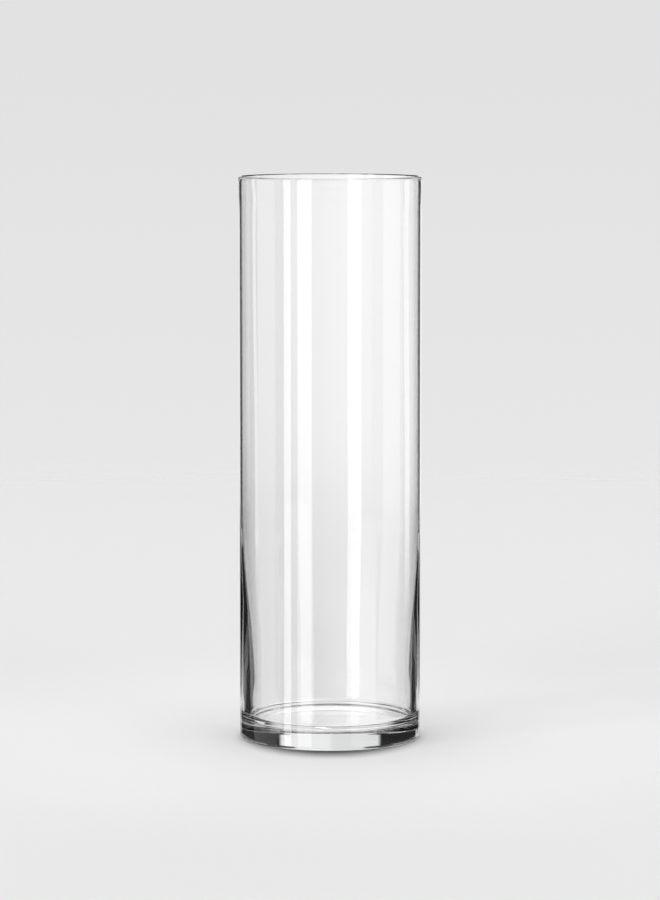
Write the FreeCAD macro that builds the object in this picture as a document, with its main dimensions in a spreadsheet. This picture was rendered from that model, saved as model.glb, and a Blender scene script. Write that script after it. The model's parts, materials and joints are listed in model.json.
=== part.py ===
"""Glass cylinder vase, pressed and blown in one piece of clear glass.

Frame: +Z up, origin at the centre of the foot, on the plane that the vase stands on. Millimetres.

The vase is one physical piece: a straight round wall that thickens inside towards a heavy flat base.
Its body is revolved from an outer outline and hollowed by a revolved cavity. The underside is dished,
so that it stands on a bearing ring. The rim is fire polished, so both of its edges are round.
"""

import FreeCAD
import Part
import Sketcher

import math
import os

from FreeCAD import Vector

PARTS_FOLDER = "parts"

# alias, value in millimetres, what it is
SIZES = (
    ("height", 266.0, "foot plane to the top of the rim"),
    ("outer_radius", 42.8, "outside of the straight wall"),
    ("wall", 1.0, "wall thickness from the rim down to the taper"),
    ("rim_flare", 0.5, "how far the rim stands out from the wall"),
    ("flare_height", 18.0, "length of wall over which the rim flares"),
    ("rim_outer_round", 1.0, "radius of the rim's outer edge"),
    ("rim_inner_round", 0.3, "radius of the rim's inner edge"),
    ("heel_radius", 1.8, "round between the wall and the foot"),
    ("ring_radius", 36.0, "inner edge of the bearing ring, where the dish starts"),
    ("push_up", 0.1, "depth of the dish at its centre"),
    ("floor_height", 8.6, "inside floor above the foot plane"),
    ("floor_radius", 38.4, "inside radius just above the floor"),
    ("floor_round", 1.5, "round between the inside floor and the wall"),
    ("taper_height", 112.0, "height at which the wall starts to thicken"),
    ("taper_radius", 700.0, "radius of the long arc along which it thickens"),
)

TOOL_OVERSHOOT = 5.0  # how far the cavity's outline passes the rim
FULL_TURN = 360.0
NEAR = 1e-3
FIRST, SECOND, CENTRE = 1, 2, 3  # a sketch edge's two ends, and an arc's centre
ORIGIN = (-1, FIRST)
VERTICAL_AXIS = -2

Constraint = Sketcher.Constraint


def make_sheet(doc):
    """The driving dimensions, one row each: what it is, and its value under an alias."""
    sheet = doc.addObject("Spreadsheet::Sheet", "sizes")
    for row, (alias, value, meaning) in enumerate(SIZES, start=1):
        sheet.set(f"A{row}", meaning)
        sheet.set(f"B{row}", str(value))
        sheet.setAlias(f"B{row}", alias)
    doc.recompute()
    return sheet


def origin_feature(body, role):
    return next(f for f in body.Origin.OriginFeatures if f.Role == role)


class HalfSection:
    """A sketch on a body's XZ plane, whose X is the radius and whose Y is the height."""

    def __init__(self, body, name):
        self.body = body
        self.sketch = body.newObject("Sketcher::SketchObject", name)
        self.sketch.AttachmentSupport = (origin_feature(body, "XZ_Plane"), [""])
        self.sketch.MapMode = "FlatFace"

    def line(self, start, end):
        return self.sketch.addGeometry(Part.LineSegment(Vector(*start), Vector(*end)))

    def arc(self, start, middle, end):
        """An arc through three points: its number, then its ends at start and at end."""
        curve = Part.Arc(Vector(*start), Vector(*middle), Vector(*end))
        number = self.sketch.addGeometry(curve)
        apart = self.sketch.getPoint(number, FIRST).distanceToPoint(Vector(*start))
        ends = (FIRST, SECOND) if apart < NEAR else (SECOND, FIRST)
        return number, (number, ends[0]), (number, ends[1])

    def join(self, *pairs):
        for one, other in pairs:
            self.sketch.addConstraint(Constraint("Coincident", *one, *other))

    def join_smoothly(self, *pairs):
        for one, other in pairs:
            self.sketch.addConstraint(Constraint("Tangent", *one, *other))

    def level(self, *lines):
        for number in lines:
            self.sketch.addConstraint(Constraint("Horizontal", number))

    def upright(self, *lines):
        for number in lines:
            self.sketch.addConstraint(Constraint("Vertical", number))

    def on_axis(self, point):
        self.sketch.addConstraint(Constraint("PointOnObject", *point, VERTICAL_AXIS))

    def drive(self, name, kind, where, value, expression):
        """Adds a dimension that the sheet drives. value is only where the solver starts."""
        number = self.sketch.addConstraint(Constraint(kind, *where, value))
        self.sketch.renameConstraint(number, name)
        self.sketch.setExpression(f"Constraints.{name}", expression)

    def revolve(self, feature, name):
        """Turns the section about Z: PartDesign::Revolution adds, PartDesign::Groove cuts."""
        turned = self.body.newObject(feature, name)
        turned.Profile = self.sketch
        turned.ReferenceAxis = (origin_feature(self.body, "Z_Axis"), [""])
        turned.Angle = FULL_TURN
        self.sketch.Visibility = False
        return turned


def add_blank(body, size):
    """The outside: foot, heel, straight wall, and the slight flare below the rim."""
    radius, top, heel = size.outer_radius, size.height, size.heel_radius
    rim_radius, flare_start = radius + size.rim_flare, top - size.flare_height
    heel_middle = heel * (1 - math.sqrt(0.5))
    section = HalfSection(body, "outside")
    foot = section.line((0, 0), (radius - heel, 0))
    heel_arc, heel_low, heel_high = section.arc(
        (radius - heel, 0), (radius - heel_middle, heel_middle), (radius, heel)
    )
    wall = section.line((radius, heel), (radius, flare_start))
    flare, flare_low, flare_high = section.arc(
        (radius, flare_start),
        (radius + size.rim_flare / 4, (flare_start + top) / 2),
        (rim_radius, top),
    )
    lid = section.line((rim_radius, top), (0, top))
    axis = section.line((0, top), (0, 0))
    section.join(
        ((foot, FIRST), ORIGIN),
        ((axis, SECOND), (foot, FIRST)),
        ((lid, SECOND), (axis, FIRST)),
        (flare_high, (lid, FIRST)),
    )
    section.join_smoothly(
        ((foot, SECOND), heel_low),
        (heel_high, (wall, FIRST)),
        ((wall, SECOND), flare_low),
    )
    section.level(foot, lid)
    section.upright(wall, axis)
    section.drive("heel", "Radius", (heel_arc,), heel, "sizes.heel_radius")
    section.drive(
        "radius", "DistanceX", (*ORIGIN, wall, FIRST), radius, "sizes.outer_radius"
    )
    section.drive("top", "DistanceY", (axis, SECOND, axis, FIRST), top, "sizes.height")
    section.drive(
        "rim",
        "DistanceX",
        (*ORIGIN, *flare_high),
        rim_radius,
        "sizes.outer_radius + sizes.rim_flare",
    )
    section.drive(
        "flare",
        "DistanceY",
        (wall, SECOND, *flare_high),
        size.flare_height,
        "sizes.flare_height",
    )
    return section.revolve("PartDesign::Revolution", "blank")


def cut_cavity(body, size):
    """The inside: a straight wall, two long arcs that thicken it, the fillet and the floor.

    The first arc leans in from the wall. The second leads back to upright at the floor radius.
    """
    radius = size.outer_radius - size.wall
    top = size.height + TOOL_OVERSHOOT
    start, foot_radius = size.taper_height, size.floor_radius
    floor, fillet = size.floor_height, size.floor_round
    fillet_top = floor + fillet
    drop, inset = start - fillet_top, radius - foot_radius
    both_radii = (drop**2 + inset**2) / (2 * inset)
    lean = math.asin(drop / both_radii)
    shoulder_radius = both_radii - size.taper_radius

    def on_taper(angle):
        inward = size.taper_radius * (1 - math.cos(angle))
        return radius - inward, start - size.taper_radius * math.sin(angle)

    def on_shoulder(angle):
        outward = shoulder_radius * (1 - math.cos(angle))
        return foot_radius + outward, fillet_top + shoulder_radius * math.sin(angle)

    turned = fillet * math.sqrt(0.5)
    fillet_middle = (foot_radius - fillet + turned, fillet_top - turned)
    floor_edge = (foot_radius - fillet, floor)

    section = HalfSection(body, "inside")
    wall = section.line((radius, top), (radius, start))
    taper, taper_high, taper_low = section.arc(
        (radius, start), on_taper(lean / 2), on_taper(lean)
    )
    _, shoulder_high, shoulder_low = section.arc(
        on_shoulder(lean), on_shoulder(lean / 2), (foot_radius, fillet_top)
    )
    corner, corner_high, corner_low = section.arc(
        (foot_radius, fillet_top), fillet_middle, floor_edge
    )
    bottom = section.line(floor_edge, (0, floor))
    axis = section.line((0, floor), (0, top))
    lid = section.line((0, top), (radius, top))
    section.join(
        ((bottom, SECOND), (axis, FIRST)),
        ((axis, SECOND), (lid, FIRST)),
        ((lid, SECOND), (wall, FIRST)),
    )
    section.join_smoothly(
        ((wall, SECOND), taper_high),
        (taper_low, shoulder_high),
        (shoulder_low, corner_high),
        (corner_low, (bottom, FIRST)),
    )
    section.level(bottom, lid)
    section.upright(wall, axis)
    section.on_axis((axis, FIRST))
    section.drive(
        "radius",
        "DistanceX",
        (*ORIGIN, wall, SECOND),
        radius,
        "sizes.outer_radius - sizes.wall",
    )
    section.drive(
        "start", "DistanceY", (*ORIGIN, wall, SECOND), start, "sizes.taper_height"
    )
    section.drive(
        "taper", "Radius", (taper,), size.taper_radius, "sizes.taper_radius"
    )
    section.drive(
        "foot", "DistanceX", (*ORIGIN, *corner_high), foot_radius, "sizes.floor_radius"
    )
    section.drive(
        "upright",
        "DistanceY",
        (*ORIGIN, *corner_high),
        fillet_top,
        "sizes.floor_height + sizes.floor_round",
    )
    section.drive("corner", "Radius", (corner,), fillet, "sizes.floor_round")
    section.drive(
        "floor", "DistanceY", (*ORIGIN, axis, FIRST), floor, "sizes.floor_height"
    )
    section.drive(
        "top",
        "DistanceY",
        (*ORIGIN, axis, SECOND),
        top,
        f"sizes.height + {TOOL_OVERSHOOT}",
    )
    return section.revolve("PartDesign::Groove", "cavity")


def cut_dish(body, size):
    """The shallow dome under the base, inside the bearing ring."""
    ring, depth = size.ring_radius, size.push_up
    sphere_radius = (ring**2 + depth**2) / (2 * depth)
    middle_height = depth - sphere_radius + math.sqrt(
        sphere_radius**2 - (ring / 2) ** 2
    )
    section = HalfSection(body, "underside")
    dome, dome_edge, dome_top = section.arc(
        (ring, 0), (ring / 2, middle_height), (0, depth)
    )
    axis = section.line((0, depth), (0, 0))
    foot = section.line((0, 0), (ring, 0))
    section.join(
        (dome_top, (axis, FIRST)),
        ((axis, SECOND), (foot, FIRST)),
        ((foot, SECOND), dome_edge),
        ((foot, FIRST), ORIGIN),
    )
    section.level(foot)
    section.upright(axis)
    section.on_axis((dome, CENTRE))
    section.drive(
        "ring", "DistanceX", (*ORIGIN, foot, SECOND), ring, "sizes.ring_radius"
    )
    section.drive("depth", "DistanceY", (*ORIGIN, axis, FIRST), depth, "sizes.push_up")
    return section.revolve("PartDesign::Groove", "dish")


def round_edge(body, name, base, circle, radius_alias):
    """Fillets the circular edge that has this radius and height."""

    def wanted(edge):
        if edge.Degenerated or not isinstance(edge.Curve, Part.Circle):
            return False
        return math.dist((edge.Curve.Radius, edge.Curve.Center.z), circle) < NEAR

    edges = [f"Edge{n}" for n, e in enumerate(base.Shape.Edges, start=1) if wanted(e)]
    if len(edges) != 1:
        raise RuntimeError(f"{name}: found {len(edges)} edges")
    fillet = body.newObject("PartDesign::Fillet", name)
    fillet.Base = (base, edges)
    fillet.setExpression("Radius", f"sizes.{radius_alias}")
    return fillet


def require_less(doc, feature, before):
    """A cut or a round that took nothing away has gone wrong without an error."""
    doc.recompute()
    if feature.Shape.Volume >= before - NEAR:
        raise RuntimeError(f"{feature.Name} removed nothing")
    return feature.Shape.Volume


def make_vase(doc, size):
    body = doc.addObject("PartDesign::Body", "vase")
    body.Label = "vase"
    add_blank(body, size)
    doc.recompute()
    volume = body.Shape.Volume
    volume = require_less(doc, cut_cavity(body, size), volume)
    dish = cut_dish(body, size)
    volume = require_less(doc, dish, volume)
    outer_circle = (size.outer_radius + size.rim_flare, size.height)
    outer = round_edge(body, "rim_outside", dish, outer_circle, "rim_outer_round")
    volume = require_less(doc, outer, volume)
    inner_circle = (size.outer_radius - size.wall, size.height)
    inner = round_edge(body, "rim_inside", outer, inner_circle, "rim_inner_round")
    require_less(doc, inner, volume)
    return body


def check(doc, bodies):
    """Stops with a message if any object failed to compute or any body isn't one good solid."""
    for thing in doc.Objects:
        if "Invalid" in thing.State or "Error" in thing.State:
            raise RuntimeError(f"{thing.Name} failed: {thing.State}")
        if thing.TypeId == "Sketcher::SketchObject" and not thing.FullyConstrained:
            raise RuntimeError(f"sketch {thing.Name} isn't fully constrained")
    for body in bodies:
        shape = body.Shape
        if shape.isNull() or not shape.isValid() or len(shape.Solids) != 1:
            raise RuntimeError(f"{body.Label} isn't one valid solid")


def main():
    doc = FreeCAD.newDocument("cylinder_vase")
    bodies = [make_vase(doc, make_sheet(doc))]
    check(doc, bodies)
    os.makedirs(PARTS_FOLDER, exist_ok=True)
    for body in bodies:
        body.Shape.exportStep(os.path.join(PARTS_FOLDER, f"{body.Label}.step"))
        box = body.Shape.optimalBoundingBox()
        print(
            f"{body.Label}: {box.XLength:.2f} x {box.YLength:.2f} x {box.ZLength:.2f} mm,"
            f" {body.Shape.Volume / 1000:.1f} cm3"
        )


main()
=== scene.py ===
"""The looks of the glass cylinder vase: one clear glass piece on a pale floor with painted shade round its
foot.

The glass replaces the CAD node, whose shape it follows, with a finer mesh and the small unevenness of
blown glass. Units are metres, in the CAD's frame. The height and the bore come from the frame, and the
outline's other sizes are the CAD's, apart from the flare.
"""

import json
import math

import bmesh
import bpy
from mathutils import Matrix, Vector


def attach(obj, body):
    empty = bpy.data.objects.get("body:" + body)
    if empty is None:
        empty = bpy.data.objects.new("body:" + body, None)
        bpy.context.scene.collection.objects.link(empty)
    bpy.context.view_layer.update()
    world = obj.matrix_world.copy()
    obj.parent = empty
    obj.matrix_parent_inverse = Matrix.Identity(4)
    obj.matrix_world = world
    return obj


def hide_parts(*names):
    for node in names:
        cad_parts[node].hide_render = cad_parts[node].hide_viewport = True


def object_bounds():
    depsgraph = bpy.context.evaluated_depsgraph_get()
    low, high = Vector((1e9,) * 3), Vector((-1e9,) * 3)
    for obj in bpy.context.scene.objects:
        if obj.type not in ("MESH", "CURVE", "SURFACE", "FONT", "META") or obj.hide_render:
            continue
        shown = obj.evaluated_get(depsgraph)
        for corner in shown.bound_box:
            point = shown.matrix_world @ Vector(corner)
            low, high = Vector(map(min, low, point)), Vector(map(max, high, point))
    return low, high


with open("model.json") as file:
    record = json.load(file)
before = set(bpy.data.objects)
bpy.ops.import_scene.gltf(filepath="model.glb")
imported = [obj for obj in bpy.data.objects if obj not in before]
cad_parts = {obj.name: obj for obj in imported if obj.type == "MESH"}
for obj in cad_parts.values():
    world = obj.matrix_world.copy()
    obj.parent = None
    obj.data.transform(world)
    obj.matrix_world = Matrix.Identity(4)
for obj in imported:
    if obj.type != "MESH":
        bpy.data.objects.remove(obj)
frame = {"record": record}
cad_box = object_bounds()

MM = 0.001
NODE = "vase"

# ---------------------------------------------------------------- the vase's sizes

MOUNTS = {mount["name"]: mount for mount in frame["record"]["mounts"]}
HEIGHT = cad_box[1].z
INNER_RADIUS = MOUNTS["mouth"]["dims"]["r_mm"] * MM
WALL = 1.0 * MM
OUTER_RADIUS = INNER_RADIUS + WALL
RIM_FLARE = 0.40 * MM  # a little less than the CAD's, so that the rim stays inside its box
RIM_FLARE_HEIGHT = 18.0 * MM
RIM_OUTER_ROUND = 1.0 * MM
RIM_INNER_ROUND = 0.3 * MM
HEEL_RADIUS = 1.8 * MM
RING_RADIUS = 36.0 * MM
PUSH_UP = 0.1 * MM
FLOOR_HEIGHT = 8.6 * MM
FLOOR_RADIUS = 38.4 * MM
FLOOR_ROUND = 1.5 * MM
TAPER_HEIGHT = 112.0 * MM
TAPER_RADIUS = 700.0 * MM
CAVITY_SHIFT = 0.4 * MM  # how far off centre the cavity is at the floor; the CAD's is centred

# How many segments each run of the outline has, and how many there are round the vase.
DISH_STEPS = 24
RING_STEPS = 5
HEEL_STEPS = 20
OUTSIDE_STEPS = 24
FLARE_STEPS = 8
RIM_OUTER_STEPS = 20
RIM_INNER_STEPS = 8
WALL_STEPS = 40
TAPER_STEPS = 24
SHOULDER_STEPS = 16
FILLET_STEPS = 24
FLOOR_STEPS = 16
SEGMENTS = 360

# ---------------------------------------------------------------- outline of the glass


def arc(centre, radius, start, end, steps):
    """Points on an arc in the (radius, height) plane, from one angle in degrees to another."""
    angles = [math.radians(start + (end - start) * i / steps) for i in range(steps + 1)]
    return [(centre[0] + radius * math.cos(a), centre[1] + radius * math.sin(a)) for a in angles]


def straight(start, end, steps):
    """Points on a straight run, without its two ends."""
    return [
        tuple(s + (e - s) * i / steps for s, e in zip(start, end))
        for i in range(1, steps)
    ]


def foot_outline():
    """From the middle of the dish, over the bearing ring and round the heel, up to the wall."""
    dome = (RING_RADIUS**2 + PUSH_UP**2) / (2 * PUSH_UP)
    half_angle = math.degrees(math.asin(RING_RADIUS / dome))
    dish = arc((0, PUSH_UP - dome), dome, 90, 90 - half_angle, DISH_STEPS)[1:]
    heel_start = OUTER_RADIUS - HEEL_RADIUS
    ring = straight((RING_RADIUS, 0), (heel_start, 0), RING_STEPS)
    heel = arc((heel_start, HEEL_RADIUS), HEEL_RADIUS, -90, 0, HEEL_STEPS)
    return dish + ring + heel


def outside_wall():
    start, end = (OUTER_RADIUS, HEEL_RADIUS), (OUTER_RADIUS, HEIGHT - RIM_FLARE_HEIGHT)
    return straight(start, end, OUTSIDE_STEPS)


def rim_outline():
    """The slight flare, the broad round outside and the tighter round inside."""
    lip_radius = OUTER_RADIUS + RIM_FLARE
    flare_start = HEIGHT - RIM_FLARE_HEIGHT
    flare_end = HEIGHT - RIM_OUTER_ROUND
    flare = []
    for i in range(1, FLARE_STEPS):
        share = i / FLARE_STEPS
        eased = share * share * (3 - 2 * share)
        height = flare_start + share * (flare_end - flare_start)
        flare.append((OUTER_RADIUS + RIM_FLARE * eased, height))
    outer_centre = (lip_radius - RIM_OUTER_ROUND, flare_end)
    outer = arc(outer_centre, RIM_OUTER_ROUND, 0, 90, RIM_OUTER_STEPS)
    inner_centre = (INNER_RADIUS + RIM_INNER_ROUND, HEIGHT - RIM_INNER_ROUND)
    inner = arc(inner_centre, RIM_INNER_ROUND, 90, 180, RIM_INNER_STEPS)
    return flare + outer + inner


def inside_outline():
    """Down the straight wall, in along the two long arcs, round the fillet, over the floor."""
    shoulder_height = FLOOR_HEIGHT + FLOOR_ROUND
    drop = TAPER_HEIGHT - shoulder_height
    inset = INNER_RADIUS - FLOOR_RADIUS
    both_radii = (drop**2 + inset**2) / (2 * inset)
    shoulder_radius = both_radii - TAPER_RADIUS
    lean = math.degrees(math.asin(drop / both_radii))
    taper_centre = (INNER_RADIUS - TAPER_RADIUS, TAPER_HEIGHT)
    shoulder_centre = (FLOOR_RADIUS + shoulder_radius, shoulder_height)
    fillet_centre = (FLOOR_RADIUS - FLOOR_ROUND, shoulder_height)
    wall = straight((INNER_RADIUS, HEIGHT), (INNER_RADIUS, TAPER_HEIGHT), WALL_STEPS)
    taper = arc(taper_centre, TAPER_RADIUS, 0, -lean, TAPER_STEPS)
    shoulder = arc(shoulder_centre, shoulder_radius, 180 - lean, 180, SHOULDER_STEPS)[1:]
    fillet = arc(fillet_centre, FLOOR_ROUND, 0, -90, FILLET_STEPS)
    floor = straight((fillet_centre[0], FLOOR_HEIGHT), (0, FLOOR_HEIGHT), FLOOR_STEPS)
    return wall + taper + shoulder + fillet + floor


def off_centre(height):
    """How far to +X the cavity lies at this height: none at the rim, and most at the floor."""
    return CAVITY_SHIFT * (1 - height / HEIGHT) ** 2


# ---------------------------------------------------------------- shader nodes


class Nodes:
    """Short names for the shader nodes that the glass, the floor and the light are made with."""

    def __init__(self, tree):
        self.tree = tree

    def plug(self, socket, value):
        if isinstance(value, bpy.types.NodeSocket):
            self.tree.links.new(value, socket)
        else:
            socket.default_value = value

    def maths(self, operation, *values):
        node = self.tree.nodes.new("ShaderNodeMath")
        node.operation = operation
        for socket, value in zip(node.inputs, values):
            self.plug(socket, value)
        return node.outputs[0]

    def ramp(self, value, start, end, low=0.0, high=1.0):
        """low up to start, high from end, and a smooth step in between."""
        node = self.tree.nodes.new("ShaderNodeMapRange")
        node.interpolation_type = "SMOOTHSTEP"
        for name, given in zip(
            ("Value", "From Min", "From Max", "To Min", "To Max"),
            (value, start, end, low, high),
        ):
            self.plug(node.inputs[name], given)
        return node.outputs[0]

    def band(self, value, middle, width, edge):
        """1 within width around middle, falling to 0 over edge on both sides."""
        away = self.maths("ABSOLUTE", self.maths("SUBTRACT", value, middle))
        half = self.maths("MULTIPLY", width, 0.5)
        start = self.maths("SUBTRACT", half, edge / 2)
        end = self.maths("ADD", half, edge / 2)
        return self.ramp(away, start, end, 1.0, 0.0)

    def blend(self, share, low, high):
        node = self.tree.nodes.new("ShaderNodeMix")
        node.data_type = "FLOAT"
        self.plug(node.inputs[0], share)
        self.plug(node.inputs[2], low)
        self.plug(node.inputs[3], high)
        return node.outputs[0]

    def vector(self, operation, one, other):
        node = self.tree.nodes.new("ShaderNodeVectorMath")
        node.operation = operation
        self.plug(node.inputs[0], one)
        self.plug(node.inputs[1], other)
        return node.outputs["Value" if operation == "DISTANCE" else "Vector"]

    def split(self, vector):
        node = self.tree.nodes.new("ShaderNodeSeparateXYZ")
        self.plug(node.inputs[0], vector)
        return node.outputs

    def noise(self, place, scale, detail):
        node = self.tree.nodes.new("ShaderNodeTexNoise")
        self.plug(node.inputs["Vector"], place)
        self.plug(node.inputs["Scale"], scale)
        self.plug(node.inputs["Detail"], detail)
        return node.outputs[0]

    def bump(self, height, strength, distance):
        node = self.tree.nodes.new("ShaderNodeBump")
        self.plug(node.inputs["Height"], height)
        self.plug(node.inputs["Strength"], strength)
        self.plug(node.inputs["Distance"], distance)
        return node.outputs[0]


# ---------------------------------------------------------------- the glass piece

GLASS_IOR = 1.52
GLASS_TINT = (0.90, 0.91, 0.907, 1.0)
GLASS_DENSITY = 8.0
FOOT_TOP = (0.3 * MM, 1.0 * MM)  # heights between which the foot's scuffs end
SCUFF_SCALE = 900.0
SCUFFS = (0.45, 0.75, 0.01, 0.10)  # noise from and to, and the roughness there
SMUDGE_SCALE = 45.0
SMUDGES = (0.5, 0.8, 0.0, 0.012)  # the same for the rest of the glass
WAVE_SCALE = 30.0
WAVE_STRENGTH = 0.5
WAVE_HEIGHT = 0.02 * MM


def turn(name, rings, bottom, top):
    """A closed turned body. Each ring is (radius, height, offset to +X), from the underside to the floor.

    Bottom and top are the heights of the two middle points.
    """
    mesh = bmesh.new()
    circles = []
    for radius, height, offset in rings:
        angles = [2 * math.pi * i / SEGMENTS for i in range(SEGMENTS)]
        places = [(offset + radius * math.cos(a), radius * math.sin(a), height) for a in angles]
        circles.append([mesh.verts.new(place) for place in places])
    for low, high in zip(circles, circles[1:]):
        for i in range(SEGMENTS):
            j = (i + 1) % SEGMENTS
            mesh.faces.new((low[i], low[j], high[j], high[i]))
    under = mesh.verts.new((rings[0][2], 0, bottom))
    over = mesh.verts.new((rings[-1][2], 0, top))
    for i in range(SEGMENTS):
        j = (i + 1) % SEGMENTS
        mesh.faces.new((circles[0][j], circles[0][i], under))
        mesh.faces.new((circles[-1][i], circles[-1][j], over))
    data = bpy.data.meshes.new(name)
    mesh.to_mesh(data)
    mesh.free()
    data.shade_smooth()
    piece = bpy.data.objects.new(name, data)
    bpy.context.scene.collection.objects.link(piece)
    return piece


def make_glass():
    """The one piece, turned from the middle of the underside, over the rim, to the middle of the floor."""
    outside = foot_outline() + outside_wall() + rim_outline()
    rings = [(radius, height, 0.0) for radius, height in outside]
    rings += [(radius, height, off_centre(height)) for radius, height in inside_outline()]
    piece = turn("glass_vase", rings, PUSH_UP, FLOOR_HEIGHT)
    piece.data.materials.append(glass_material())
    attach(piece, "root")
    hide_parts(NODE)
    return piece


def glass_material():
    """Clear glass with a faint waviness, and a foot that is slightly scuffed where it stands."""
    material = bpy.data.materials.new("clear_glass")
    material.use_nodes = True
    tree = material.node_tree
    n = Nodes(tree)
    shader = tree.nodes["Principled BSDF"]
    shader.inputs["Base Color"].default_value = (1, 1, 1, 1)
    shader.inputs["IOR"].default_value = GLASS_IOR
    shader.inputs["Transmission Weight"].default_value = 1.0
    place = tree.nodes.new("ShaderNodeTexCoord").outputs["Object"]
    on_foot = n.ramp(n.split(place)["Z"], *FOOT_TOP, 1.0, 0.0)
    scuffs = n.ramp(n.noise(place, SCUFF_SCALE, 3.0), *SCUFFS)
    smudges = n.ramp(n.noise(place, SMUDGE_SCALE, 2.0), *SMUDGES)
    tree.links.new(n.blend(on_foot, smudges, scuffs), shader.inputs["Roughness"])
    waves = n.noise(place, WAVE_SCALE, 1.0)
    tree.links.new(n.bump(waves, WAVE_STRENGTH, WAVE_HEIGHT), shader.inputs["Normal"])
    absorb = tree.nodes.new("ShaderNodeVolumeAbsorption")
    absorb.inputs["Color"].default_value = GLASS_TINT
    absorb.inputs["Density"].default_value = GLASS_DENSITY
    output = tree.nodes["Material Output"]
    tree.links.new(absorb.outputs["Volume"], output.inputs["Volume"])
    return material


# ---------------------------------------------------------------- studio


# Bearings are in degrees, to the left of straight behind the vase as the camera sees it. Steepness is the
# angle above or below the horizon. It hardly changes as light passes through an upright wall.

HORIZON = (-7.0, 1.0, 0.80, 0.76)  # elevations, and the backdrop's brightness at and below, at and above
CEILING_FULL = 50.0
CEILING_LEVEL = 1.58
PAPER_LEVEL = 0.72  # straight below

WINDOWS_BY_STEEPNESS = (1.5, 10.5, 1.02, 0.95)  # steepness from and to, and the brightness there
WINDOWS_HIGH_UP = (30.0, 50.0)
HIGH_UP_LEVEL = 0.45
WINDOWS_BY_SIDE = (-1.0, 2.0, 1.0, 0.86)  # bearing from and to, and the share of brightness there

CARD_TOP = 36.0
CARD_EDGE = 3.0
CARD_LEVEL = 0.02
SIGHTS = (
    # bearing of a pale window, least and greatest steepness, half its width in the base and from above
    (0.0, 0.0, CARD_TOP, 24.0),
    (90.0, 0.0, 20.0, 24.0),
    (-135.0, 8.0, CARD_TOP, 18.0),
    (45.0, 20.0, CARD_TOP, 11.5),
)
LEVEL_HALF_WIDTH = 15.5
LOWER_WALL_HALF_WIDTH = 18.0
LEVEL_TO_BASE = (9.0, 9.3)  # steepness between which light from the wall gives way to light from the base
BASE_TO_LOWER_WALL = (10.6, 11.4)
LOWER_WALL_TO_ABOVE = (16.0, 18.0)
GREY_LEVEL = 0.5
GREY_STARTS = 32.0  # the nearly level cards end here, and grey goes on from there
GREY_FADES = (5.0, 7.4)  # in steepness

STRIPS_END = (30.0, 40.0)  # in elevation
SIDE_STRIPS_END = (6.5, 8.5)  # in steepness
# Each strip's bearing, width, soft edge and brightness. The bearings of the two at the sides change with
# steepness: from and to, and the bearing there.
KEY_STRIP = (147.4, 18.5, 1.5, 2.4)
SECOND_STRIP = (124.5, 9.8, 1.5, 4.5)
LEFT_STRIP = ((2.5, 6.5, 68.0, 73.0), 6.5, 1.5, 2.2)
RIGHT_STRIP = ((2.5, 6.5, -67.5, -64.0), 11.0, 2.0, 2.2)


def studio_world():
    """What the glass sees: pale windows between dark cards, soft strips, a bright ceiling, pale paper below.

    The camera itself sees only a plain pale backdrop.
    """
    world = bpy.data.worlds.new("studio")
    world.use_nodes = True
    tree = world.node_tree
    n = Nodes(tree)
    x, y, z = n.split(tree.nodes.new("ShaderNodeTexCoord").outputs["Generated"])
    bearing = n.maths("DEGREES", n.maths("ARCTAN2", n.maths("MULTIPLY", x, -1.0), y))
    elevation = n.maths("DEGREES", n.maths("ARCSINE", z))
    steepness = n.maths("ABSOLUTE", elevation)
    rays = tree.nodes.new("ShaderNodeLightPath").outputs

    level = windows(n, bearing, steepness)
    level = n.blend(openness(n, bearing, steepness), CARD_LEVEL, level)
    level = n.blend(n.ramp(elevation, CARD_TOP, CEILING_FULL), level, CEILING_LEVEL)
    below = n.ramp(elevation, -CEILING_FULL, -CARD_TOP, 1.0, 0.0)
    level = n.blend(below, level, PAPER_LEVEL)
    for share, power in strips(n, bearing, steepness, rays["Is Reflection Ray"]):
        share = n.maths("MULTIPLY", share, n.ramp(elevation, *STRIPS_END, 1.0, 0.0))
        level = n.blend(share, level, power)
    level = n.blend(rays["Is Camera Ray"], level, n.ramp(elevation, *HORIZON))
    tree.links.new(level, tree.nodes["Background"].inputs["Color"])
    bpy.context.scene.world = world


def windows(n, bearing, steepness):
    """The brightness of the windows: less away from the horizon, and less on the left of the view."""
    by_steepness = n.ramp(steepness, *WINDOWS_BY_STEEPNESS)
    by_steepness = n.ramp(steepness, *WINDOWS_HIGH_UP, by_steepness, HIGH_UP_LEVEL)
    return n.maths("MULTIPLY", by_steepness, n.ramp(bearing, *WINDOWS_BY_SIDE))


def half_width_at(n, steepness, half_width):
    """Windows are narrower where the walls show them than where the base does, or the view from above."""
    half = n.ramp(steepness, *LEVEL_TO_BASE, LEVEL_HALF_WIDTH, half_width)
    half = n.ramp(steepness, *BASE_TO_LOWER_WALL, half, LOWER_WALL_HALF_WIDTH)
    return n.ramp(steepness, *LOWER_WALL_TO_ABOVE, half, half_width)


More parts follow.
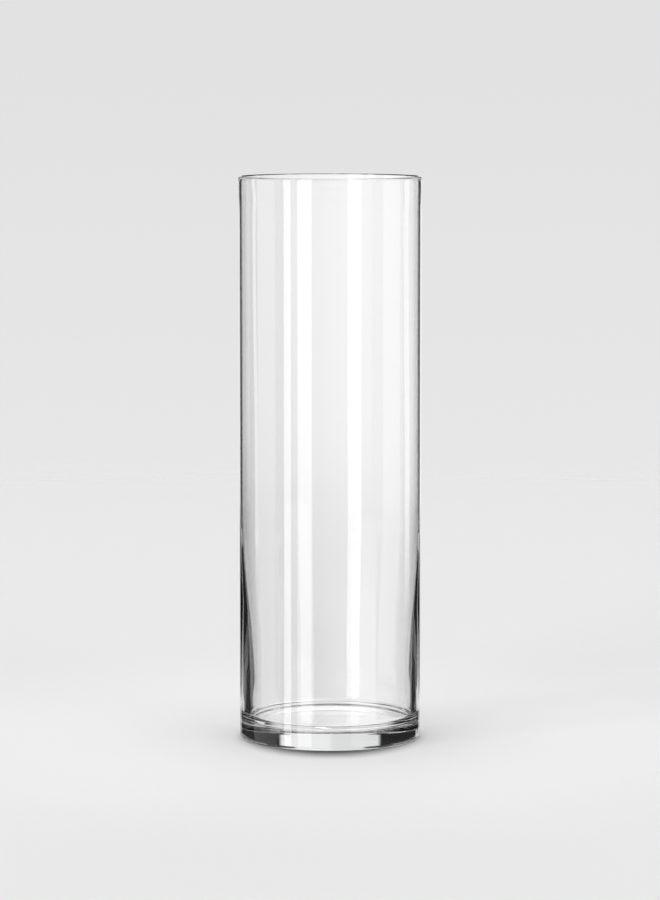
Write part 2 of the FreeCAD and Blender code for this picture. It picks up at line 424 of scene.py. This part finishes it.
def openness(n, bearing, steepness):
    """1 in a window and 0 on a dark card. Near the horizon the cards are narrow, with grey past them."""
    nearly_level = n.ramp(steepness, *GREY_FADES, 1.0, 0.0)
    grey = n.maths("MULTIPLY", nearly_level, GREY_LEVEL)
    lit = 0.0
    for middle, least, greatest, half_width in SIGHTS:
        turned = n.maths("WRAP", n.maths("SUBTRACT", bearing, middle), 180.0, -180.0)
        away = n.maths("ABSOLUTE", turned)
        half = half_width_at(n, steepness, half_width)
        end = n.maths("ADD", half, CARD_EDGE / 2)
        window = n.ramp(away, n.maths("SUBTRACT", half, CARD_EDGE / 2), end, 1.0, 0.0)
        window = n.maths("MULTIPLY", window, n.ramp(steepness, greatest - 1, greatest, 1.0, 0.0))
        if least > 0:
            window = n.maths("MULTIPLY", window, n.ramp(steepness, least - 1, least))
        else:
            grey = n.maths("MULTIPLY", grey, n.ramp(away, GREY_STARTS, GREY_STARTS + CARD_EDGE))
        lit = n.maths("MAXIMUM", window, lit)
    return n.maths("MAXIMUM", lit, grey)


def strips(n, bearing, steepness, mirrored):
    """Each strip light's share and brightness. All but the first show only in the outer surface."""
    middle, width, edge, power = KEY_STRIP
    shares = [(n.band(bearing, middle, width, edge), power)]
    middle, width, edge, power = SECOND_STRIP
    shares.append((n.maths("MULTIPLY", mirrored, n.band(bearing, middle, width, edge)), power))
    near_level = n.ramp(steepness, *SIDE_STRIPS_END, 1.0, 0.0)
    mirrored_low = n.maths("MULTIPLY", mirrored, near_level)
    for turning, width, edge, power in (LEFT_STRIP, RIGHT_STRIP):
        share = n.band(bearing, n.ramp(steepness, *turning), width, edge)
        shares.append((n.maths("MULTIPLY", mirrored_low, share), power))
    return shares


# ---------------------------------------------------------------- floor and camera

PAPER_RADIUS = 1.6
PAPER_SIDES = 128
PAPER_DROP = 0.02 * MM  # the paper lies just under the foot
PAPER_FADES = (0.6, 1.5)  # distances between which it gives way to the backdrop
PAPER_TONE_AND_PAINTED_LIGHT = (0.06, 0.30, 0.90, 0.80)  # distance from and to, and the paper's tone there; it is paler near the vase, painted light that lifts the vase's own shadow on it
PAPER_ROUGHNESS = (0.2, 0.8, 0.9, 1.0)  # grain from and to, and the roughness there
GRAIN_SCALE = 1200.0
GRAIN_STRENGTH = 0.2
GRAIN_HEIGHT = 0.02 * MM
SEEN_RING = (46.5 * MM, 7.0 * MM, 2.0 * MM)  # middle, width and edge of the ring that the glass sees
PAINTED_SHADE_NARROWING = (1.4, 1.0, 1.0)  # the painted shade round the foot reaches less far to the sides
PAINTED_SHADE = (40.0 * MM, 66.0 * MM, 0.12, 1.0)  # distance from and to, and the share of the paper's tone that the painted shade leaves there

LENS = 159.5
CAMERA_PLACE = (0.0, -1.875, 0.3216)
CAMERA_DOWN = 5.63  # degrees below level
CAMERA_REACH = 100.0
LIGHT_BOUNCES = 16
CENTRE = (0.0, 0.0, 0.0)


def pale_floor():
    """A pale paper disc that fades into the backdrop all round."""
    bpy.ops.mesh.primitive_circle_add(
        vertices=PAPER_SIDES, radius=PAPER_RADIUS, fill_type="NGON"
    )
    floor = bpy.context.object
    floor.name = "studio_floor"
    floor.location.z = -PAPER_DROP
    floor.data.materials.append(paper_material())
    return floor


def paper_material():
    """Pale paper with painted shade round the foot, and painted light that keeps it paler near the vase. The
    glass sees only the ring of it just outside the foot.
    """
    material = bpy.data.materials.new("floor_paper")
    material.use_nodes = True
    tree = material.node_tree
    n = Nodes(tree)
    shader = tree.nodes["Principled BSDF"]
    shader.inputs["Specular IOR Level"].default_value = 0.0
    place = tree.nodes.new("ShaderNodeTexCoord").outputs["Object"]
    grain = n.noise(place, GRAIN_SCALE, 2.0)
    tree.links.new(n.ramp(grain, *PAPER_ROUGHNESS), shader.inputs["Roughness"])
    tree.links.new(n.bump(grain, GRAIN_STRENGTH, GRAIN_HEIGHT), shader.inputs["Normal"])
    away = n.vector("DISTANCE", place, CENTRE)
    rays = tree.nodes.new("ShaderNodeLightPath").outputs
    wide = n.ramp(away, *PAPER_FADES, 1.0, 0.0)
    near = n.band(away, *SEEN_RING)
    tree.links.new(n.blend(rays["Is Camera Ray"], near, wide), shader.inputs["Alpha"])
    # Painted shade: the paper's colour is darkened round the foot, less far to the sides, as a contact
    # shadow.
    narrowed_for_painted_shade = n.vector("MULTIPLY", place, PAINTED_SHADE_NARROWING)
    painted_shade = n.ramp(n.vector("DISTANCE", narrowed_for_painted_shade, CENTRE), *PAINTED_SHADE)
    # Painted light: the paper's colour is paler near the vase, against the shadow the vase casts there.
    tone_and_painted_light = n.ramp(away, *PAPER_TONE_AND_PAINTED_LIGHT)
    tree.links.new(n.maths("MULTIPLY", painted_shade, tone_and_painted_light), shader.inputs["Base Color"])
    return material


def add_camera():
    """A long lens, a little above the rim, looking slightly down at the vase."""
    data = bpy.data.cameras.new("camera")
    data.lens = LENS
    data.clip_end = CAMERA_REACH
    camera = bpy.data.objects.new("camera", data)
    bpy.context.scene.collection.objects.link(camera)
    camera.location = CAMERA_PLACE
    camera.rotation_euler = (math.radians(90 - CAMERA_DOWN), 0, 0)
    bpy.context.scene.camera = camera


def colour_as_photographed():
    """Plain colours, so that the pale backdrop stays as pale as it is set."""
    bpy.context.scene.view_settings.view_transform = "Standard"


def follow_light_in_glass():
    """Light may bounce many times inside the base and the rim before it leaves them."""
    light_paths = bpy.context.scene.cycles
    light_paths.max_bounces = LIGHT_BOUNCES
    light_paths.glossy_bounces = LIGHT_BOUNCES
    light_paths.transmission_bounces = LIGHT_BOUNCES


make_glass()
pale_floor()
studio_world()
add_camera()
colour_as_photographed()
follow_light_in_glass()
